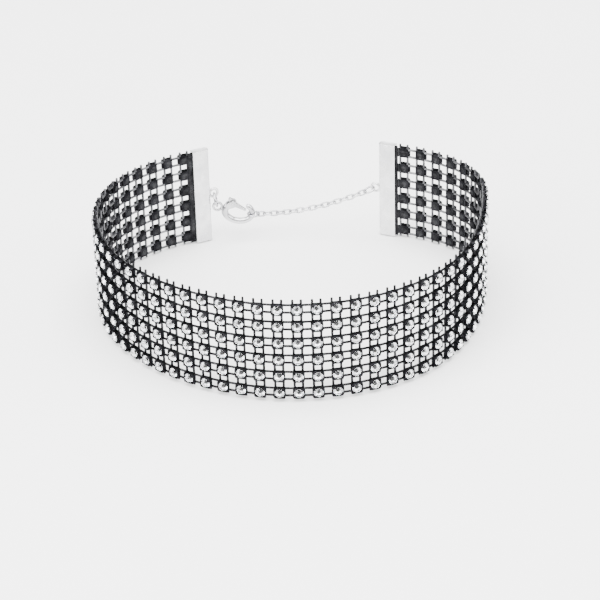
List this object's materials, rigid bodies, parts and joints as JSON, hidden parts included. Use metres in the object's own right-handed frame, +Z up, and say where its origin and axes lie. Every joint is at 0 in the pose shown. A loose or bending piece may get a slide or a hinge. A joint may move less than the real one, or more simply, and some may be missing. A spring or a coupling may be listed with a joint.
{
  "type": "choker necklace",
  "caption": "Wide black rhinestone mesh choker in a closed ring, with folded end bars, a fine extender chain and a lobster clasp.",
  "frame": {"origin": "middle of the neck opening, at half the band's height", "axes": "+Z up along the neck, -Y towards the front of the band, +X to the wearer's left; the clasp is at the back, towards +Y"},
  "size_m": [0.1134, 0.0971, 0.0304],
  "materials": {
    "black_plated_cups": "black plated, semi gloss",
    "crystal": "clear cut stone, foiled back",
    "pale_silver": "pale silver plate, soft sheen",
    "ring_silver": "bright silver plate",
    "clasp_silver": "bright silver plate, polished"
  },
  "bodies": {
    "necklace": {"stone_mesh_left": "black_plated_cups", "stone_mesh_right": "black_plated_cups", "end_bar_left": "pale_silver", "end_bar_right": "pale_silver", "jump_ring_left": "ring_silver", "jump_ring_right": "ring_silver", "chain_end_ring": "ring_silver", "clasp_body": "clasp_silver", "chain_link_01": "ring_silver", "chain_link_02": "ring_silver", "chain_link_03": "ring_silver", "chain_link_04": "ring_silver", "chain_link_05": "ring_silver", "chain_link_06": "ring_silver", "chain_link_07": "ring_silver", "chain_link_08": "ring_silver", "chain_link_09": "ring_silver", "chain_link_10": "ring_silver", "chain_link_11": "ring_silver", "chain_link_12": "ring_silver", "chain_link_13": "ring_silver", "chain_link_14": "ring_silver", "chain_link_15": "ring_silver", "chain_link_16": "ring_silver", "chain_link_17": "ring_silver"},
    "lever": {"clasp_lever": "clasp_silver"}
  },
  "joints": [
    {"name": "lever_hinge", "type": "hinge", "parent": "necklace", "child": "lever", "pos_m": [-0.01758, 0.04822, -0.0038], "axis": [-0.0101, 0.9999, 0], "range_deg": [0, 20], "stiffness_Nm_per_rad": 0.00002, "springref_deg": -17.19}
  ]
}
